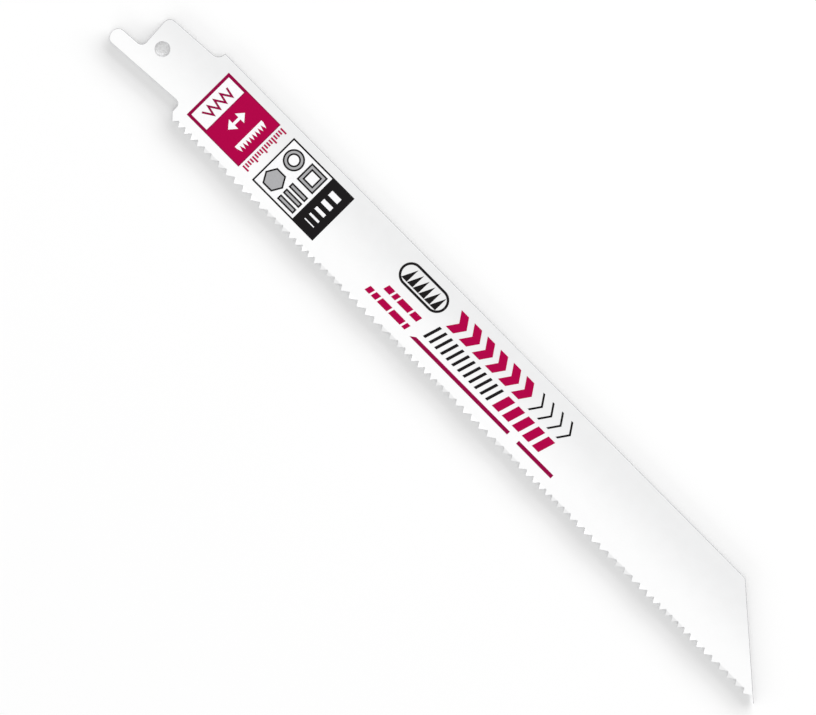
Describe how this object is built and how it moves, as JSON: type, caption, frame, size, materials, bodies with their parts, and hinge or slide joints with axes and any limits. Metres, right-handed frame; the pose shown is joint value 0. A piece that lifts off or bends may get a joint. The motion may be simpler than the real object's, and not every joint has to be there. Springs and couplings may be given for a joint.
{
  "type": "reciprocating saw blade",
  "caption": "Flat steel saw blade with a canted, tongued shank, a pin hole, a slanted nose and a row of set teeth, for a reciprocating saw.",
  "frame": {"origin": "centre of the pin hole, at half the strip's thickness", "axes": "+X along the straight back edge to the nose, +Y to the back edge, +Z out of the printed side"},
  "size_m": [0.2032, 0.0186, 0.0012],
  "materials": {
    "blade_enamel": "satin white enamel with printed colour fields"
  },
  "bodies": {
    "root": {"blade": "blade_enamel"}
  },
  "joints": []
}
